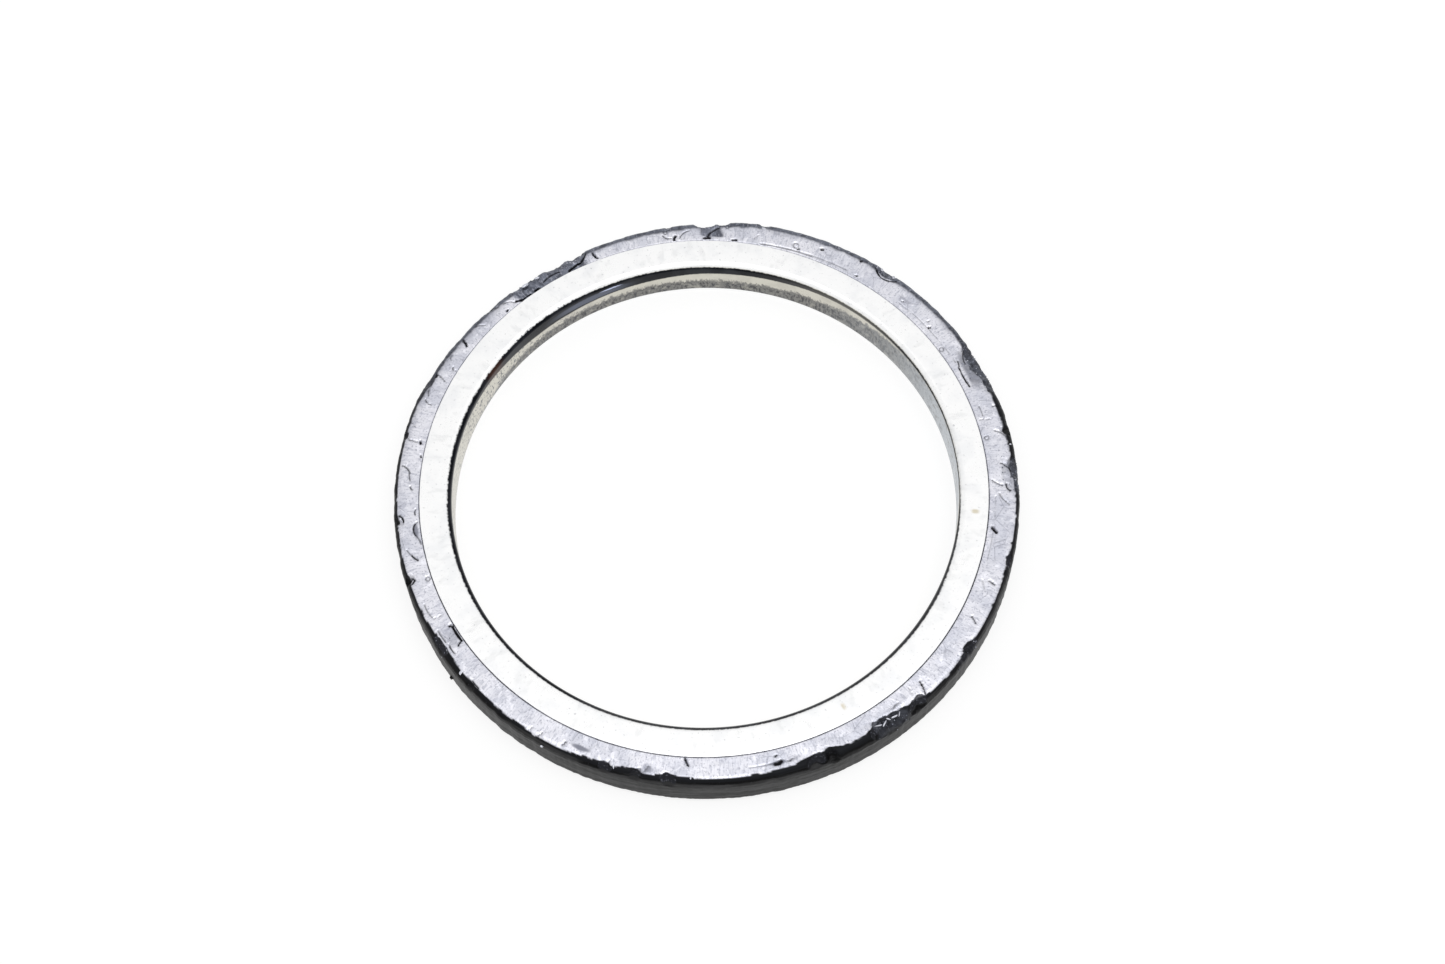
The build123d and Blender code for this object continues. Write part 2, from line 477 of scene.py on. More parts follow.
def outline_reach(angle):
    """How far the rim is from the bore's axis, with the side that wear has flattened."""
    half_length = rim_radius * math.sin(math.radians(worn_half_angle))
    sagitta = rim_radius - math.sqrt(rim_radius**2 - half_length**2) - worn_depth
    worn_radius = (half_length**2 + sagitta**2) / (2 * sagitta)
    worn_offset = worn_radius - (rim_radius - worn_depth)
    turn = angle - math.radians(worn_angle)
    worn = np.sqrt(worn_radius**2 - (worn_offset * np.sin(turn)) ** 2) - worn_offset * np.cos(turn)
    return np.minimum(rim_radius + rim_shift * np.cos(angle), worn)


def section_stations():
    """The section from the seam, out over the face, down the wall and in under it to the seam again.
    Each station is a share of the way from the seam to the outline, an offset from there, and a height."""
    edge = rim_rounding
    turns = np.linspace(0, math.pi / 2, ROUNDING_STEPS + 1)
    face = [(share, -share * edge, top) for share in np.linspace(0, 1, TOP_STEPS + 1)[:-1]]
    shoulder = [(1, -edge * (1 - math.sin(turn)), top - edge * (1 - math.cos(turn))) for turn in turns[:-1]]
    wall = [(1, 0, height) for height in np.linspace(top - edge, edge - top, WALL_STEPS + 1)[:-1]]
    heel = [(1, -edge * (1 - math.cos(turn)), -top + edge * (1 - math.sin(turn))) for turn in turns[:-1:2]]
    under = [(share, -share * edge, -top) for share in np.linspace(1, 0, UNDER_STEPS + 1)]
    return np.array(face + shoulder + wall + heel + under)


def web_stations():
    """The hidden web in the sleeve's channel, as radius and height."""
    corner = bend_radius - sheet
    return np.array([
        (seam_radius, -channel_top),
        (channel_radius + corner, -channel_top),
        (channel_radius, -channel_top + corner),
        (channel_radius, channel_top - corner),
        (channel_radius + corner, channel_top),
        (seam_radius, channel_top),
    ])


def along_rim(angle, degrees):
    """How far each angle is from a place on the rim, in millimetres along it."""
    return np.radians(degrees_past(angle, degrees)) * middle_radius


def in_space(angle, radius, height):
    """Points at angles, radii and heights, as X, Y and Z."""
    return np.stack([radius * np.cos(angle), radius * np.sin(angle), height], axis=-1)


def distance_to_line(along, out, points):
    """Distance from points on the unrolled surface to a line drawn through a few points."""
    nearest = np.full(np.broadcast(along, out).shape, np.inf)
    for (from_along, from_out), (to_along, to_out) in zip(points, points[1:]):
        run, rise = to_along - from_along, to_out - from_out
        share = ((along - from_along) * run + (out - from_out) * rise) / (run**2 + rise**2)
        share = np.clip(share, 0, 1)
        apart = np.hypot(along - from_along - share * run, out - from_out - share * rise)
        nearest = np.minimum(nearest, apart)
    return nearest


def bowed_line(run, rise, start_out, bow):
    """Points of a line from a start to its end on the unrolled surface, bowed sideways."""
    point_count = 9
    length = math.hypot(run, rise)
    line = []
    for share in np.linspace(0, 1, point_count):
        bulge = 4 * share * (1 - share) * bow
        line.append((run * share - rise / length * bulge, start_out + rise * share + run / length * bulge))
    return line


def lay_out_ring():
    """The ring as it was pressed. At each step round it, and each station of its section, it has its place,
    how far out that is along the surface, its grain, and what wear will mark there."""
    stations = section_stations()
    ring = SimpleNamespace(angle=np.linspace(0, 2 * math.pi, STEPS, endpoint=False)[:, None])
    ring.reach, ring.inner = outline_reach(ring.angle), seam_reach(ring.angle)
    ring.radius = ring.inner + stations[:, 0] * (ring.reach - ring.inner) + stations[:, 1]
    ring.height = stations[:, 2] + 0 * ring.radius
    strides = np.hypot(np.diff(ring.radius, axis=1), np.diff(ring.height, axis=1))
    ring.out = np.concatenate([np.zeros((STEPS, 1)), np.cumsum(strides, axis=1)], axis=1)
    ring.edge_out = ring.reach - rim_rounding - ring.inner
    ring.on_face = 1 - ease(ring.edge_out, ring.edge_out + rim_rounding, ring.out)
    ring.upper = ease(-0.4, 0.4, ring.height)
    ring.far_side = ease(0.1, 0.8, np.sin(ring.angle))

    surface = in_space(ring.angle, ring.radius, ring.height)
    ring.coarse = grain(surface, COARSE, seed=1)
    ring.medium = grain(surface, MEDIUM, seed=2)
    ring.fine = grain(surface, FINE, seed=3)
    rim_line = surface[:, [TOP_STEPS + ROUNDING_STEPS]]
    ring.bends = grain(rim_line, BEND, seed=4)
    ring.nicks = grain(rim_line, NICK, seed=5)
    ring.broken, ring.worn, ring.crumbs, ring.gap, ring.pale = np.zeros((5, *ring.radius.shape))
    return ring


def shake(ring, coarse=0.0, medium=0.0, fine=0.0):
    """The grain at each point of the ring, with so much of each size of lump."""
    return coarse * ring.coarse + medium * ring.medium + fine * ring.fine


def roughen_rim(ring):
    """The rim was never cut clean: it wanders in and out."""
    set_back = 0.035 + 0.04 * ring.bends + 0.03 * ring.nicks
    ring.radius = ring.radius - np.maximum((1 - ring.on_face) * set_back, 0)


def break_chips(ring):
    """Chips slope from the face to the wall, as deep as a shallow scoop across their length."""
    dark_depth, dark_length = 0.08, 2
    for degrees, length, across, down, slant in chips:
        inside = np.maximum(ring.reach - ring.radius, 0)
        below = np.maximum(top - ring.height, 0)
        along = along_rim(ring.angle, degrees) - inside * math.tan(math.radians(slant))
        skew = along / (length / 2 * (1 + shake(ring, coarse=0.2)))
        scoop = np.clip(1 - skew**2, 0, 1) * (1 + shake(ring, medium=0.15, fine=0.08))

        # A point short of the chip's slope moves to it, at right angles to the slope
        bite = np.maximum(scoop, 1e-3)
        across_here, down_here = across * bite, down * bite
        short = np.clip(1 - inside / across_here - below / down_here, 0, None)
        move = np.where(scoop > 0.02, short, 0) / (1 / across_here**2 + 1 / down_here**2)
        rough = 1 + shake(ring, fine=0.2)
        ring.radius = ring.radius - move / across_here * rough
        ring.height = ring.height - move / down_here * rough

        # Long chips are the darkest
        darkness = ease(0.0, dark_depth, move * np.hypot(1 / across_here, 1 / down_here))
        ring.broken = np.maximum(ring.broken, darkness * min(1, (length / dark_length) ** 2))

    # Chips on the far side are paler, as painted light, and a chip in the wall is no darker than the wall
    near_face = ease(top - 0.55, top - 0.3, ring.height)
    ring.broken = ring.broken * (1 - 0.7 * ring.far_side) * near_face


def crush_stretches(ring):
    """Crushed stretches are broken into crumbs."""
    end_softness, edge_softness = 0.5, 0.25
    fade_start, fade_end = 0.9, 1.6
    for first, last, reach_in, depth, slaty, crumbly in crushed:
        half = math.radians(last - first) * middle_radius / 2
        along = np.abs(along_rim(ring.angle, (first + last) / 2)) + shake(ring, coarse=0.2, medium=0.3)
        edge = reach_in + shake(ring, coarse=0.2, medium=0.15)
        zone = (1 - ease(half - end_softness, half, along)) * ease(edge, edge + edge_softness, ring.out)
        zone = zone * (1 - ease(ring.edge_out + fade_start, ring.edge_out + fade_end, ring.out))
        on_face, on_wall = ring.on_face * zone * depth, (1 - ring.on_face) * zone * depth
        ring.height = ring.height - on_face * (1 + shake(ring, medium=0.7, fine=0.4))
        ring.radius = ring.radius - on_wall * (0.6 + shake(ring, medium=0.5, fine=0.3))
        ring.worn = np.maximum(ring.worn, zone * slaty)
        ring.crumbs = np.maximum(ring.crumbs, zone * crumbly)


def cut_cracks(ring):
    """Cracks and nicks are cut along bowed lines, with painted shade in them: the deeper they are, the
    darker.
    """
    margin = 1
    least_dark, dark_depth = 0.25, 0.16
    uneven, aside = 1 + shake(ring, fine=0.3), shake(ring, medium=0.02)
    for first, first_out, last, last_out, bow, width, depth in cracks:
        run = math.radians(last - first) * middle_radius
        along = along_rim(ring.angle, first)
        near = np.flatnonzero(np.abs(along[:, 0] - run / 2) < abs(run) / 2 + margin)
        line = bowed_line(run, last_out - first_out, first_out, bow)
        apart = distance_to_line(along[near], ring.out[near], line) * uneven[near] + aside[near]
        cut = 1 - ease(0.25 * width, 0.75 * width, apart)
        ring.height[near] -= ring.on_face[near] * cut * depth
        ring.radius[near] -= (1 - ring.on_face[near]) * cut * depth
        ring.gap[near] = np.maximum(ring.gap[near], cut * min(1, least_dark + depth / dark_depth))


def press_ring_marks(ring):
    """Small rings are pressed into the face, with painted shade along their grooves."""
    line_start, line_end, darkness = 0.02, 0.09, 0.6
    for degrees, mark_out, mark_radius, depth in ring_marks:
        away = np.hypot(along_rim(ring.angle, degrees), ring.out - mark_out)
        cut = 1 - ease(line_start, line_end, np.abs(away - mark_radius))
        ring.height = ring.height - ring.on_face * cut * depth
        ring.gap = np.maximum(ring.gap, darkness * cut)


def shade_rim_and_smudge_face(ring):
    """Painted shade darkens the face towards its rim, most on the far side, and dull smudges lie on it."""
    shaken_out = ring.out + shake(ring, coarse=0.2, medium=0.1)
    towards_rim = ease(ring.edge_out - 0.5, ring.edge_out + 0.2, shaken_out)
    # Painted shade towards the rim, stronger on the far side
    ring.dull = (0.1 + 0.4 * ease(-0.3, 0.7, np.sin(ring.angle))) * towards_rim
    ragged = shake(ring, coarse=0.25, medium=0.15)
    for degrees, smudge_out, half_length, half_width, strength in smudges:
        far = np.hypot(along_rim(ring.angle, degrees) / half_length, (ring.out - smudge_out) / half_width)
        ring.dull = np.maximum(ring.dull, strength * (1 - ease(0.35, 1.1, far + ragged)))


def dip_face(ring):
    """The pressed face is nearly flat: it dips a little."""
    coarse_dip, medium_dip = 0.012, 0.008
    dip = coarse_dip * (1 + ring.coarse) + medium_dip * (1 + ring.medium)
    ring.height = ring.height - ring.on_face * ring.upper * dip


def end_skin(ring):
    """The pressed skin ends in a ragged line near the edge, and the far side's shoulder is painted slate grey
    as painted shading, through the worn mark. The underside is pressed like the face."""
    [past_edge] = round_about(skin_edges, ring.angle)
    skin_end = ring.edge_out + past_edge + 0.04 * ring.bends + 0.05 * ring.nicks
    fade_start = skin_end - 0.04 - 0.2 * ring.far_side
    fade_end = skin_end + 0.05 + 0.1 * ring.far_side
    wall = ease(fade_start, fade_end, ring.out + shake(ring, medium=0.06, fine=0.05))
    # Painted shading: the far side's shoulder is painted slate grey, carried in the worn mark
    far_shoulder_shading = 0.75 * ring.far_side * wall * ease(top - 0.65, top - 0.4, ring.height)
    pressed = ease(0.02 - top, -top, ring.height)
    ring.wall = wall * (1 - pressed)
    ring.worn = np.maximum(ring.worn, far_shoulder_shading) * (1 - pressed)


def show_layers(ring):
    """The foil's layers run round the wall, so their grain is drawn out flat. A crease runs round under the
    shoulder."""
    drawn_out, layer_size = (0.12, 0.12, 1), 0.17
    layer_depth, crease_depth, roughness = 0.03, 0.04, 0.012
    crease_below, crease_width = 0.5, 0.07
    layers = grain(in_space(ring.angle, ring.radius, ring.height) * drawn_out, layer_size, seed=6)
    crease = np.exp(-((ring.height - top + crease_below - 0.05 * ring.bends) / crease_width) ** 2)
    depth = layer_depth * np.abs(layers) + crease_depth * crease + roughness * (1 + ring.fine)
    ring.radius = ring.radius - ring.wall * depth * (1 - ring.on_face)


def ring_mesh(ring):
    """Closes the worn section with the web in the sleeve's channel, and makes it a mesh with its marks."""
    web = web_stations()
    radius = np.concatenate([np.maximum(ring.radius, ring.inner), np.tile(web[:, 0], (STEPS, 1))], axis=1)
    height = np.concatenate([np.clip(ring.height, -top, top), np.tile(web[:, 1], (STEPS, 1))], axis=1)

    # The graphite's edge along the seam, where its faces meet the web, is a little uneven
    unevenness = 0.012
    first_of_web = ring.radius.shape[1]
    for station in (0, first_of_web - 1, first_of_web, -1):
        radius[:, station] = ring.inner[:, 0] + unevenness * ring.nicks[:, 0]

    place = in_space(ring.angle, radius, height).reshape(-1, 3) * MM
    here = np.arange(radius.size).reshape(radius.shape)
    corners = [here, np.roll(here, -1, 1), np.roll(here, (-1, -1), (0, 1)), np.roll(here, -1, 0)]
    faces = np.stack(corners, axis=-1).reshape(-1, 4)
    mesh = bpy.data.meshes.new("graphite")
    mesh.from_pydata(place.tolist(), [], faces.tolist())
    mesh.polygons.foreach_set("use_smooth", [True] * len(mesh.polygons))
    hidden = np.zeros((STEPS, len(web)))
    names = ("broken", "worn", "crumbs", "gap", "dull", "wall", "pale")
    store_marks(mesh, {name: np.concatenate([getattr(ring, name), hidden], axis=1) for name in names})
    return mesh


def make_graphite_mesh():
    ring = lay_out_ring()
    roughen_rim(ring)
    break_chips(ring)
    crush_stretches(ring)
    cut_cracks(ring)
    press_ring_marks(ring)
    shade_rim_and_smudge_face(ring)
    dip_face(ring)
    end_skin(ring)
    show_layers(ring)
    return ring_mesh(ring)


def cling_flakes(mesh):
    """Sets thin lens-shaped flakes with ragged edges on the ring's surface."""
    thickness, raggedness, lump_size = 0.1, 0.3, 0.15
    shell = bmesh.new()
    shell.from_mesh(mesh)
    layers = shell.verts.layers.float
    for degrees, out, length, width, turn, pale in clinging_flakes:
        angle = math.radians(degrees)
        inner = float(seam_reach(angle))
        edge_out = float(outline_reach(angle)) - rim_rounding - inner
        lean = min(max((out - edge_out) / rim_rounding, 0), math.pi / 2)
        down_wall = max(out - edge_out - rim_rounding * math.pi / 2, 0)
        radius = inner + min(out, edge_out) + rim_rounding * math.sin(lean)
        height = top - rim_rounding * (1 - math.cos(lean)) - down_wall
        spot = Vector((radius * math.cos(angle), radius * math.sin(angle), height - thickness)) * MM
        facing = Matrix.Rotation(angle, 4, "Z") @ Matrix.Rotation(lean, 4, "Y")
        facing = facing @ Matrix.Rotation(math.radians(90 - turn), 4, "Z")
        size = Matrix.Diagonal((length / 2 * MM, width / 2 * MM, thickness * MM, 1))
        made = bmesh.ops.create_icosphere(
            shell, subdivisions=2, radius=1, matrix=Matrix.Translation(spot) @ facing @ size)
        for vertex in made["verts"]:
            vertex.co += (vertex.co - spot) * raggedness * noise.noise(vertex.co / (lump_size * MM))
            vertex.co.z = min(vertex.co.z, top * MM)
            vertex[layers["pale"]] = pale
            vertex[layers["wall"]] = 1.0 - pale
    shell.to_mesh(mesh)
    shell.free()


def crumb_tree():
    """Crumbs of torn graphite, scattered where the surface is crushed. Each is a squashed 20-faced lump."""
    tree, given, result = new_tree(
        "graphite_crumbs", Crumb_size="Float", Most_per_square_metre="Float", Highest="Float", Seed="Int",
        Material="Material")
    crumbly = add_node(tree, "GeometryNodeInputNamedAttribute", {"Name": "crumbs"}, data_type="FLOAT")
    density = add_node(
        tree, "ShaderNodeMath", {0: crumbly.outputs[0], 1: given["Most_per_square_metre"]},
        operation="MULTIPLY")
    spots = add_node(
        tree, "GeometryNodeDistributePointsOnFaces",
        {"Mesh": given["Geometry"], "Density": density.outputs[0], "Seed": given["Seed"]})
    lump = add_node(tree, "GeometryNodeMeshIcoSphere", {"Radius": given["Crumb_size"], "Subdivisions": 1})

    # Crumbs differ in size, are long and thin, lie nearly flat and point any way
    smallest, largest = (0.4, 0.3, 0.15), (1.5, 1.0, 0.5)
    least_turn, most_turn = (-0.6, -0.6, 0.0), (0.6, 0.6, 6.3)
    sizes = add_node(
        tree, "FunctionNodeRandomValue", {0: smallest, 1: largest, "Seed": given["Seed"]},
        data_type="FLOAT_VECTOR")
    turns = add_node(
        tree, "FunctionNodeRandomValue", {0: least_turn, 1: most_turn, "Seed": given["Seed"]},
        data_type="FLOAT_VECTOR")
    lumps = add_node(
        tree, "GeometryNodeInstanceOnPoints",
        {"Points": spots.outputs["Points"], "Instance": lump.outputs["Mesh"], "Rotation": turns.outputs[0],
         "Scale": sizes.outputs[0]})

    # Some crumbs show a pale face and the rest are as dark as the crushed stretch
    least_pale, most_pale = -1.0, 0.8
    paleness = add_node(
        tree, "FunctionNodeRandomValue", {2: least_pale, 3: most_pale, "Seed": given["Seed"]},
        data_type="FLOAT")
    pale = add_node(
        tree, "GeometryNodeStoreNamedAttribute",
        {"Geometry": lumps.outputs[0], "Name": "pale", "Value": paleness.outputs[1]}, data_type="FLOAT",
        domain="INSTANCE")
    dark = add_node(
        tree, "GeometryNodeStoreNamedAttribute", {"Geometry": pale.outputs[0], "Name": "worn", "Value": 1.0},
        data_type="FLOAT", domain="INSTANCE")

    # No crumb stands above the face
    loose = add_node(tree, "GeometryNodeRealizeInstances", {0: dark.outputs[0]})
    place = add_node(tree, "GeometryNodeInputPosition")
    parts = add_node(tree, "ShaderNodeSeparateXYZ", {0: place.outputs[0]})
    lower = add_node(
        tree, "ShaderNodeMath", {0: parts.outputs["Z"], 1: given["Highest"]}, operation="MINIMUM")
    held = add_node(
        tree, "ShaderNodeCombineXYZ",
        {"X": parts.outputs["X"], "Y": parts.outputs["Y"], "Z": lower.outputs[0]})
    settled = add_node(tree, "GeometryNodeSetPosition", {0: loose.outputs[0], "Position": held.outputs[0]})
    both = add_node(tree, "GeometryNodeJoinGeometry", {0: settled.outputs[0]})
    tree.links.new(given["Geometry"], both.inputs[0])
    real = add_node(tree, "GeometryNodeRealizeInstances", {0: both.outputs[0]})
    painted = add_node(tree, "GeometryNodeSetMaterial", {0: real.outputs[0], "Material": given["Material"]})
    tree.links.new(painted.outputs[0], result["Geometry"])
    return tree


# The sleeve's shape

def sleeve_tree():
    """The middle of a sheet that is folded to a C in section and swept round the bore."""
    tree, given, result = new_tree(
        "folded_sleeve", Bore_radius="Float", Collar_width="Float", Height="Float", Bend_radius="Float",
        Steps="Int", Bend_steps="Int", Material="Material")
    path = add_node(
        tree, "GeometryNodeCurvePrimitiveCircle",
        {"Resolution": given["Steps"], "Radius": given["Bore_radius"]}, mode="RADIUS")
    box = add_node(
        tree, "GeometryNodeCurvePrimitiveQuadrilateral",
        {"Width": given["Collar_width"], "Height": given["Height"]}, mode="RECTANGLE")
    opened = add_node(tree, "GeometryNodeSetSplineCyclic", {"Geometry": box.outputs[0], "Cyclic": False})
    bent = add_node(
        tree, "GeometryNodeFilletCurve",
        {"Curve": opened.outputs[0], "Count": given["Bend_steps"], "Radius": given["Bend_radius"]},
        mode="POLY")
    half = add_node(tree, "ShaderNodeMath", {0: given["Collar_width"], 1: 0.5}, operation="MULTIPLY")
    shift = add_node(tree, "ShaderNodeCombineXYZ", {"X": half.outputs[0]})
    section = add_node(tree, "GeometryNodeTransform", {0: bent.outputs[0], "Translation": shift.outputs[0]})
    swept = add_node(
        tree, "GeometryNodeCurveToMesh", {"Curve": path.outputs[0], "Profile Curve": section.outputs[0]})
    smooth = add_node(tree, "GeometryNodeSetShadeSmooth", {0: swept.outputs[0], "Shade Smooth": True})
    real = add_node(tree, "GeometryNodeRealizeInstances", {0: smooth.outputs[0]})
    painted = add_node(tree, "GeometryNodeSetMaterial", {0: real.outputs[0], "Material": given["Material"]})
    tree.links.new(painted.outputs[0], result["Geometry"])
    return tree


def mesh_places(mesh):
    """A mesh's points in millimetres, with their angles and radii."""
    place = np.empty(3 * len(mesh.vertices))
    mesh.vertices.foreach_get("co", place)
    place = place.reshape(-1, 3) / MM
    return place, np.arctan2(place[:, 1], place[:, 0]), np.hypot(place[:, 0], place[:, 1])


def fit_collars(mesh):
    """Brings the collars' edges out to the graphite, a little uneven, and in where the seam comes in."""
    unevenness, lump_size = 0.01, 0.7
    place, angle, radius = mesh_places(mesh)
    flat_start = bore_radius + bend_radius
    share = np.clip((radius - flat_start) / (collar_radius - flat_start), 0, 1)
    edge = seam_reach(angle) - hairline - unevenness * (1 + grain(place, lump_size, seed=8))
    place[:, :2] *= (1 + share * (edge - collar_radius) / radius)[:, None]
    mesh.vertices.foreach_set("co", (place * MM).ravel())


def mark_sleeve(mesh):
    """Keeps where the mottled shade at the foot, the painted dark reflection on the fold with its soft
    limits, and the small marks, painted highlights among them, are.
    """
    softness = 0.1
    angle = mesh_places(mesh)[1]
    stain_top, stain_pale, start, end, strength = round_about(bore_marks, angle)
    marks = {
        "stain_top": stain_top * MM,
        "stain_pale": stain_pale,
        "fold_start": start * MM,
        "fold_full": (start + softness) * MM,
        "fold_end": (end - softness) * MM,
        "fold_gone": (end + softness) * MM,
        "fold_strength": strength,
    }
    for kind, degrees, spread in sleeve_spots:
        shown = 1 - ease(0, spread, np.abs(degrees_past(angle, degrees)))
        marks[kind] = np.maximum(marks.get(kind, 0), shown)
    store_marks(mesh, marks)


def make_sleeve(material):
    sleeve = mesh_object("folded_sleeve", bpy.data.meshes.new("folded_sleeve"), material)
    path_radius = bore_radius + sheet / 2
    grow(
        sleeve, sleeve_tree(), Bore_radius=path_radius * MM, Collar_width=(collar_radius - path_radius) * MM,
        Height=(2 * top - sheet) * MM, Bend_radius=(bend_radius - sheet / 2) * MM, Steps=720, Bend_steps=9,
        Material=material)
    fit_collars(sleeve.data)
    thickness = sleeve.modifiers.new("sheet", "SOLIDIFY")
    thickness.thickness = sheet * MM
    thickness.offset = 0
    thickness.use_even_offset = True
    burr = sleeve.modifiers.new("cut_edge", "BEVEL")
    burr.width = 0.04 * MM
    burr.segments = 2
    burr.limit_method = "ANGLE"
    burr.angle_limit = math.radians(50)
    keep_mesh(sleeve)
    sleeve.data.set_sharp_from_angle(angle=math.radians(20))
    mark_sleeve(sleeve.data)
    return sleeve


# Materials

def new_material(name):
    made = bpy.data.materials.new(name)
    made.use_nodes = True
    made.node_tree.nodes.clear()
    return made, made.node_tree


def marks_on(tree, *names):
    """The values that a mesh keeps for each of its points, by name."""
    return {name: add_node(tree, "ShaderNodeAttribute", attribute_name=name).outputs["Fac"] for name in names}


def run_across(tree, place, reach):
    """A place without its height, and the place moved out by a reach in millimetres, which is where to read a
    pattern so that it runs across the ring."""
    flat = add_node(tree, "ShaderNodeVectorMath", {0: place, 1: (1, 1, 0)}, operation="MULTIPLY").outputs[0]
    facing = add_node(tree, "ShaderNodeVectorMath", {0: flat}, operation="NORMALIZE").outputs[0]
    moved = add_node(
        tree, "ShaderNodeVectorMath", {0: facing, 1: (reach * MM,) * 3, 2: place}, operation="MULTIPLY_ADD")
    return flat, moved.outputs[0]


def lay_over(tree, ground, *coats):
    """Lays coats of colour over a ground. Each shows where its pattern goes from a start to its full value,
    up to a most, which may be a mask."""
    for colour, pattern, start, full, most in coats:
        share = add_node(
            tree, "ShaderNodeMapRange",
            {"Value": pattern, "From Min": start, "From Max": full, "To Max": most},
            interpolation_type="SMOOTHSTEP")
        mixed = add_node(
            tree, "ShaderNodeMix", {0: share.outputs[0], 6: ground, 7: colour}, data_type="RGBA")
        ground = mixed.outputs[2]
    return ground


def soft_band(tree, value, start, full, end, gone, most):
    """A most where a value lies between full and end, and 0 before its start or after it is gone."""
    for first, last in ((start, full), (gone, end)):
        most = add_node(
            tree, "ShaderNodeMapRange", {"Value": value, "From Min": first, "From Max": last, "To Max": most},
            interpolation_type="SMOOTHSTEP").outputs[0]
    return most


def noise_patterns(tree, **patterns):
    """Noise by name: where it is read, its lumps' size in millimetres, its detail and its distortion."""
    made = {}
    for name, (vector, size, detail, distortion) in patterns.items():
        cloudy = add_node(
            tree, "ShaderNodeTexNoise",
            {"Vector": vector, "Scale": 1 / (size * MM), "Detail": detail, "Distortion": distortion})
        made[name] = cloudy.outputs[0]
    return made


def pressed_face(tree, mark, pattern, place):
    """The pressed face: silvery, clouded and crinkled, with dull smudges, painted shade towards its rim, and
    hair-thin veins in places.
    """
    vein_size = 1.6
    veins = add_node(
        tree, "ShaderNodeTexVoronoi", {"Vector": place, "Scale": 1 / (vein_size * MM)},
        feature="DISTANCE_TO_EDGE").outputs["Distance"]
    vein_strength = add_node(
        tree, "ShaderNodeMapRange",
        {"Value": pattern["clouds"], "From Min": 0.5, "From Max": 0.62, "To Max": 0.5},
        interpolation_type="SMOOTHSTEP").outputs[0]
    return lay_over(
        tree, "#dedee5",
        ("#c4c6d1", pattern["clouds"], 0.38, 0.66, 0.8),
        ("#adafbb", pattern["crinkles"], 0.48, 0.66, 0.65),
        ("#ececf3", pattern["curls"], 0.54, 0.7, 0.8),
        ("#8f919e", pattern["specks"], 0.54, 0.74, 0.7),
        ("#83848f", veins, 0.03, 0.0, vein_strength),
        # Dull smudges, and painted shade towards the rim, most on the far side
        ("#6f717d", mark["dull"], 0.0, 1.0, 1.0),
    )


def layered_wall(tree, pattern, height):
    """The wall, nearly black, with its layers a little paler and painted shade towards its foot. They end in
    a plain band under the face.
    """
    return lay_over(
        tree, "#0b0b0c",
        ("#323233", pattern["layers"], 0.42, 0.58, 1.0),
        ("#0c0c0c", pattern["clouds"], 0.5, 0.7, 0.7),
        ("#404246", pattern["specks"], 0.6, 0.8, 0.4),
        # Painted shade towards the foot of the wall, where it meets the table
        ("#121213", height, -1.0 * MM, -1.7 * MM, 0.6),
        ("#17181b", height, (top - 0.24) * MM, (top - 0.15) * MM, 1.0),
    )


def pressed_graphite():
    """Flexible graphite, laid up from foil and pressed: its faces come out of the die silvery and satin, with
    a faint lavender cast. Its broken places and its layered wall are dark grey and dull."""
    material, tree = new_material("pressed_flexible_graphite")
    place = add_node(tree, "ShaderNodeTexCoord").outputs["Object"]
    height = add_node(tree, "ShaderNodeSeparateXYZ", {0: place}).outputs["Z"]
    mark = marks_on(tree, "broken", "worn", "gap", "dull", "wall", "pale")

    # Foil is crinkled across the rim, and its layers run round the wall
    crinkled = run_across(tree, place, 3 * middle_radius)[1]
    layered = add_node(tree, "ShaderNodeMapping", {"Vector": place, "Scale": (1, 1, 16)}).outputs[0]
    pattern = noise_patterns(
        tree, clouds=(place, 2.2, 3.0, 0.0), curls=(place, 0.6, 5.0, 0.8), specks=(place, 0.15, 2.0, 0.0),
        crinkles=(crinkled, 0.6, 5.0, 0.8), layers=(layered, 6.0, 4.0, 0.2))

    slate = lay_over(
        tree, "#6d717d",
        ("#3d3f48", pattern["curls"], 0.42, 0.6, 0.7),
        ("#a2a4b0", pattern["crinkles"], 0.52, 0.68, 0.7),
    )
    torn = lay_over(tree, "#25262b", ("#686a73", pattern["specks"], 0.55, 0.75, 0.7))
    colour = lay_over(
        tree, pressed_face(tree, mark, pattern, place),
        (layered_wall(tree, pattern, height), mark["wall"], 0.0, 1.0, 1.0),
        (torn, mark["broken"], 0.2, 0.7, 0.9),
        # Slate where the graphite is crushed, and, through the same mark, painted shading on the far side's
        # shoulder
        (slate, mark["worn"], 0.0, 0.9, 1.0),
        ("#cfd1da", mark["pale"], 0.0, 1.0, 1.0),
        # Painted shade in cracks, nicks and pressed rings, near black
        ("#0c0d10", mark["gap"], 0.0, 1.0, 1.0),
    )

    # The skin is satin, and the broken wall is duller
    rough = add_node(
        tree, "ShaderNodeMapRange", {"Value": mark["wall"], "To Min": 0.36, "To Max": 0.5}).outputs[0]
    lumps = add_node(
        tree, "ShaderNodeMath", {0: pattern["curls"], 1: pattern["specks"]}, operation="ADD").outputs[0]
    bump = add_node(
        tree, "ShaderNodeBump", {"Strength": 0.35, "Distance": 0.02 * MM, "Height": lumps}).outputs[0]
    shader = add_node(
        tree, "ShaderNodeBsdfPrincipled",
        {"Base Color": colour, "Roughness": rough, "Metallic": 0.9, "Normal": bump})
    add_node(tree, "ShaderNodeOutputMaterial", {"Surface": shader.outputs[0]})
    return material


def bright_collar(tree, pattern):
    """The flat collar: bright and nearly white, with faint clouds, smears and specks."""
    return lay_over(
        tree, "#f5f5f5",
        ("#e5e6e8", pattern["clouds"], 0.44, 0.7, 0.6),
        ("#dadbdc", pattern["smears"], 0.54, 0.72, 0.4),
        ("#a4a6aa", pattern["specks"], 0.62, 0.8, 0.6),
    )


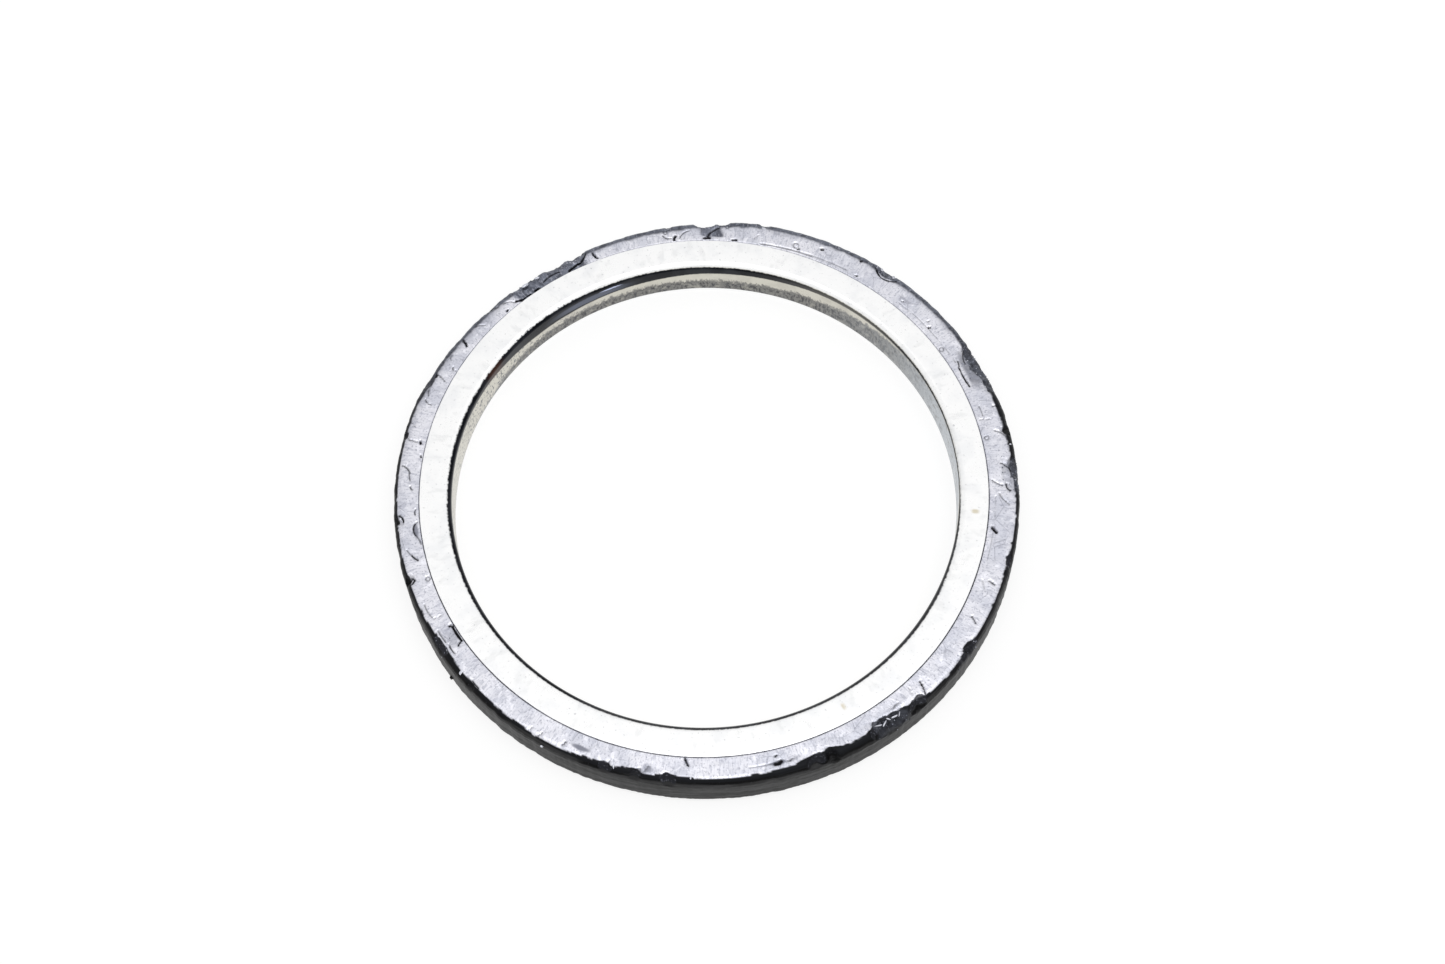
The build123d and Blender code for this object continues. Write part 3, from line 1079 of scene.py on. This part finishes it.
def shaded_bore(tree, mark, pattern, height):
    """The bore's wall: beige grey, painted as the reflection of the table in the ring's shade, with a darker
    mottled band that rises from its foot to a ragged limit: a mottled texture, darkened as a painted
    reflection of the contact shade.
    """
    raggedness, softness = 0.3, 0.2
    mottled_shade = lay_over(
        tree, "#7c7b78",
        ("#424244", pattern["drips"], 0.45, 0.62, 1.0),
        ("#a5a39b", pattern["blots"], 0.55, 0.7, 0.7),
        ("#b4bac0", pattern["blots"], 0.2, 0.5, mark["stain_pale"]),
        ("#55575c", pattern["specks"], 0.56, 0.74, 0.7),
    )
    # The beige grey is a painted reflection of the table in the ring's shade
    beige = lay_over(
        tree, "#d0cdc2",
        ("#bcb9af", pattern["clouds"], 0.45, 0.7, 0.6),
        ("#8d8b84", pattern["specks"], 0.66, 0.8, 0.6),
    )
    ragged = add_node(
        tree, "ShaderNodeMapRange",
        {"Value": pattern["drips"], "From Min": 0.3, "From Max": 0.7, "To Min": -raggedness * MM,
         "To Max": raggedness * MM}).outputs[0]
    uneven = add_node(tree, "ShaderNodeMath", {0: height, 1: ragged}, operation="ADD").outputs[0]
    over_mottled_shade = add_node(
        tree, "ShaderNodeMath", {0: uneven, 1: mark["stain_top"]}, operation="SUBTRACT").outputs[0]
    return lay_over(
        tree, beige,
        # The mottled band at the foot is darkened as a painted reflection of the contact shade
        (mottled_shade, over_mottled_shade, softness * MM, -softness * MM, 1.0),
        # Painted shade at the very foot of the wall, where it meets the table
        ("#5f5e5b", height, (0.25 - top) * MM, (0.1 - top) * MM, 0.7),
    )


def painted_dark_reflection(tree, mark, pattern, below):
    """A painted dark reflection on the stretched fold: blue-black, with a soft painted sheen, a thin painted
    glint in it and a brown stretch.
    """
    sheen = soft_band(tree, below, 0.5 * MM, 0.9 * MM, 1.2 * MM, 1.5 * MM, mark["sheen"])
    glint = soft_band(tree, below, 0.58 * MM, 0.68 * MM, 0.74 * MM, 0.84 * MM, mark["glint"])
    return lay_over(
        tree, "#111318",
        ("#26282d", pattern["clouds"], 0.42, 0.62, 0.8),
        ("#5d6270", sheen, 0.1, 0.9, 1.0),
        ("#472f26", mark["brown"], 0.0, 1.0, 0.7),
        ("#c3cbe6", glint, 0.1, 0.9, 1.0),
    )


def tin_plate():
    """Tin-plated mild steel, drawn and folded: the flat collar is bright and nearly white, the stretched fold
    carries a painted blue-black reflection, and the bore's wall is a beige grey, painted as a reflection of
    the shaded table, mottled and darker towards its foot, partly as painted shade."""
    material, tree = new_material("tin_plated_steel")
    place = add_node(tree, "ShaderNodeTexCoord").outputs["Object"]
    height = add_node(tree, "ShaderNodeSeparateXYZ", {0: place}).outputs["Z"]
    mark = marks_on(
        tree, "stain_top", "stain_pale", "fold_start", "fold_full", "fold_end", "fold_gone", "fold_strength",
        "glint", "sheen", "brown", "rusty", "specked")

    # Smears run across the collar, and drips are tall
    flat, smeared = run_across(tree, place, bore_radius)
    radius = add_node(tree, "ShaderNodeVectorMath", {0: flat}, operation="LENGTH").outputs["Value"]
    tall = add_node(tree, "ShaderNodeMapping", {"Vector": place, "Scale": (1, 1, 0.4)}).outputs[0]
    pattern = noise_patterns(
        tree, clouds=(place, 1.6, 4.0, 0.0), specks=(place, 0.2, 2.0, 0.0), smears=(smeared, 1.2, 3.0, 0.0),
        drips=(tall, 0.2, 5.0, 0.6), blots=(place, 0.5, 3.0, 0.0))

    # The painted dark reflection's limits are ragged, and it stops short of the flat of the collar
    raggedness, flat_margin = 0.06, 0.1
    nibbled = add_node(
        tree, "ShaderNodeMapRange",
        {"Value": pattern["specks"], "To Min": (top - raggedness) * MM,
         "To Max": (top + raggedness) * MM}).outputs[0]
    below = add_node(tree, "ShaderNodeMath", {0: nibbled, 1: height}, operation="SUBTRACT").outputs[0]
    dark_reflection = soft_band(
        tree, below, mark["fold_start"], mark["fold_full"], mark["fold_end"], mark["fold_gone"],
        mark["fold_strength"])
    dark_reflection = add_node(
        tree, "ShaderNodeMapRange",
        {"Value": radius, "From Min": (channel_radius + flat_margin) * MM, "From Max": channel_radius * MM,
         "To Max": dark_reflection}).outputs[0]

    # Specks lie where the fold meets the collar, and rust in spots further out on it
    specked = soft_band(
        tree, radius, channel_radius * MM, (channel_radius - 0.1) * MM, (channel_radius + 0.1) * MM,
        (channel_radius + 0.4) * MM, mark["specked"])
    rusty = soft_band(
        tree, radius, (bore_radius + 0.7) * MM, (bore_radius + 1.1) * MM, (bore_radius + 1.2) * MM,
        (bore_radius + 1.7) * MM, mark["rusty"])
    bore = shaded_bore(tree, mark, pattern, height)
    colour = lay_over(
        tree, bright_collar(tree, pattern),
        (bore, radius, (bore_radius + 0.12) * MM, (bore_radius + 0.03) * MM, 1.0),
        ("#5c5f66", pattern["specks"], 0.52, 0.66, specked),
        ("#c9bfa4", rusty, 0.1, 0.9, 0.8),
        # The fold's blue-black is a painted dark reflection, with a painted sheen and a painted glint
        (painted_dark_reflection(tree, mark, pattern, below), dark_reflection, 0.0, 1.0, 1.0),
    )

    rough = add_node(
        tree, "ShaderNodeMapRange", {"Value": pattern["clouds"], "To Min": 0.22, "To Max": 0.36}).outputs[0]
    bump = add_node(
        tree, "ShaderNodeBump",
        {"Strength": 0.2, "Distance": 0.01 * MM, "Height": pattern["clouds"]}).outputs[0]
    shader = add_node(
        tree, "ShaderNodeBsdfPrincipled",
        {"Base Color": colour, "Roughness": rough, "Metallic": 1.0, "Normal": bump})
    add_node(tree, "ShaderNodeOutputMaterial", {"Surface": shader.outputs[0]})
    return material


# The studio

def white_to_camera(tree, plain, white):
    """White for rays from the camera, a gloss or a clear body, and the plain level for the rest."""
    path = add_node(tree, "ShaderNodeLightPath").outputs
    seen = path["Is Camera Ray"]
    for ray in ("Is Glossy Ray", "Is Transmission Ray"):
        seen = add_node(tree, "ShaderNodeMath", {0: seen, 1: path[ray]}, operation="MAXIMUM").outputs[0]
    return add_node(tree, "ShaderNodeMapRange", {"Value": seen, "To Min": plain, "To Max": white}).outputs[0]


def make_world():
    world = bpy.data.worlds.new("white_tent")
    world.use_nodes = True
    tree = world.node_tree
    tree.nodes.clear()
    strength = white_to_camera(tree, plain=0.62, white=1.0)
    back = add_node(tree, "ShaderNodeBackground", {"Color": "#ffffff", "Strength": strength})
    add_node(tree, "ShaderNodeOutputWorld", {"Surface": back.outputs[0]})
    bpy.context.scene.world = world


def make_table():
    """A pale table top. It takes the object's shadow, and is lifted to white where it is seen."""
    reach, below = 1.5, cad_low.z
    mesh = bpy.data.meshes.new("table")
    corners = [(-reach, -reach, below), (reach, -reach, below), (reach, reach, below), (-reach, reach, below)]
    mesh.from_pydata(corners, [], [(0, 1, 2, 3)])
    material, tree = new_material("white_laminate")
    glow = white_to_camera(tree, plain=0.0, white=0.8)
    shader = add_node(
        tree, "ShaderNodeBsdfPrincipled",
        {"Base Color": "#8c8c8c", "Roughness": 0.9, "Emission Color": "#ffffff", "Emission Strength": glow})
    add_node(tree, "ShaderNodeOutputMaterial", {"Surface": shader.outputs[0]})
    mesh_object("table", mesh, material)


def make_lamp():
    """A broad softbox over the front of the table."""
    lamp = bpy.data.lights.new("softbox", "AREA")
    lamp.shape = "DISK"
    lamp.size = 0.5
    lamp.energy = 0.9
    made = bpy.data.objects.new("softbox", lamp)
    made.location = (0.05, -0.12, 0.55)
    made.rotation_euler = made.location.to_track_quat("Z", "Y").to_euler()
    bpy.context.scene.collection.objects.link(made)


def make_camera():
    """The photograph's viewpoint: where the eye is, and which ways are right, up and back for it."""
    eye = Vector((0.001265, -0.077792, 0.164121))
    right = Vector((0.99962, -0.02483, -0.01194))
    up = Vector((0.02755, 0.90086, 0.43323))
    back = Vector((0, -0.43339, 0.90120))
    camera = bpy.data.cameras.new("camera")
    camera.sensor_width = 36
    camera.lens = 62.62
    camera.clip_start = 0.01
    made = bpy.data.objects.new("camera", camera)
    turned = Matrix((right, up, back)).transposed()
    made.matrix_world = Matrix.Translation(eye) @ turned.to_4x4()
    bpy.context.scene.collection.objects.link(made)
    bpy.context.scene.camera = made


bpy.context.scene.view_settings.view_transform = "Standard"
make_camera()
make_world()
make_lamp()
make_table()

graphite_material = pressed_graphite()
graphite_mesh = make_graphite_mesh()
cling_flakes(graphite_mesh)
graphite = mesh_object("pressed_graphite", graphite_mesh, graphite_material)
grow(
    graphite, crumb_tree(), Crumb_size=0.07 * MM, Most_per_square_metre=12e6, Highest=top * MM, Seed=7,
    Material=graphite_material)
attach(graphite, "root")
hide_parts("graphite_ring")

sleeve = make_sleeve(tin_plate())
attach(sleeve, "root")
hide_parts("sleeve")
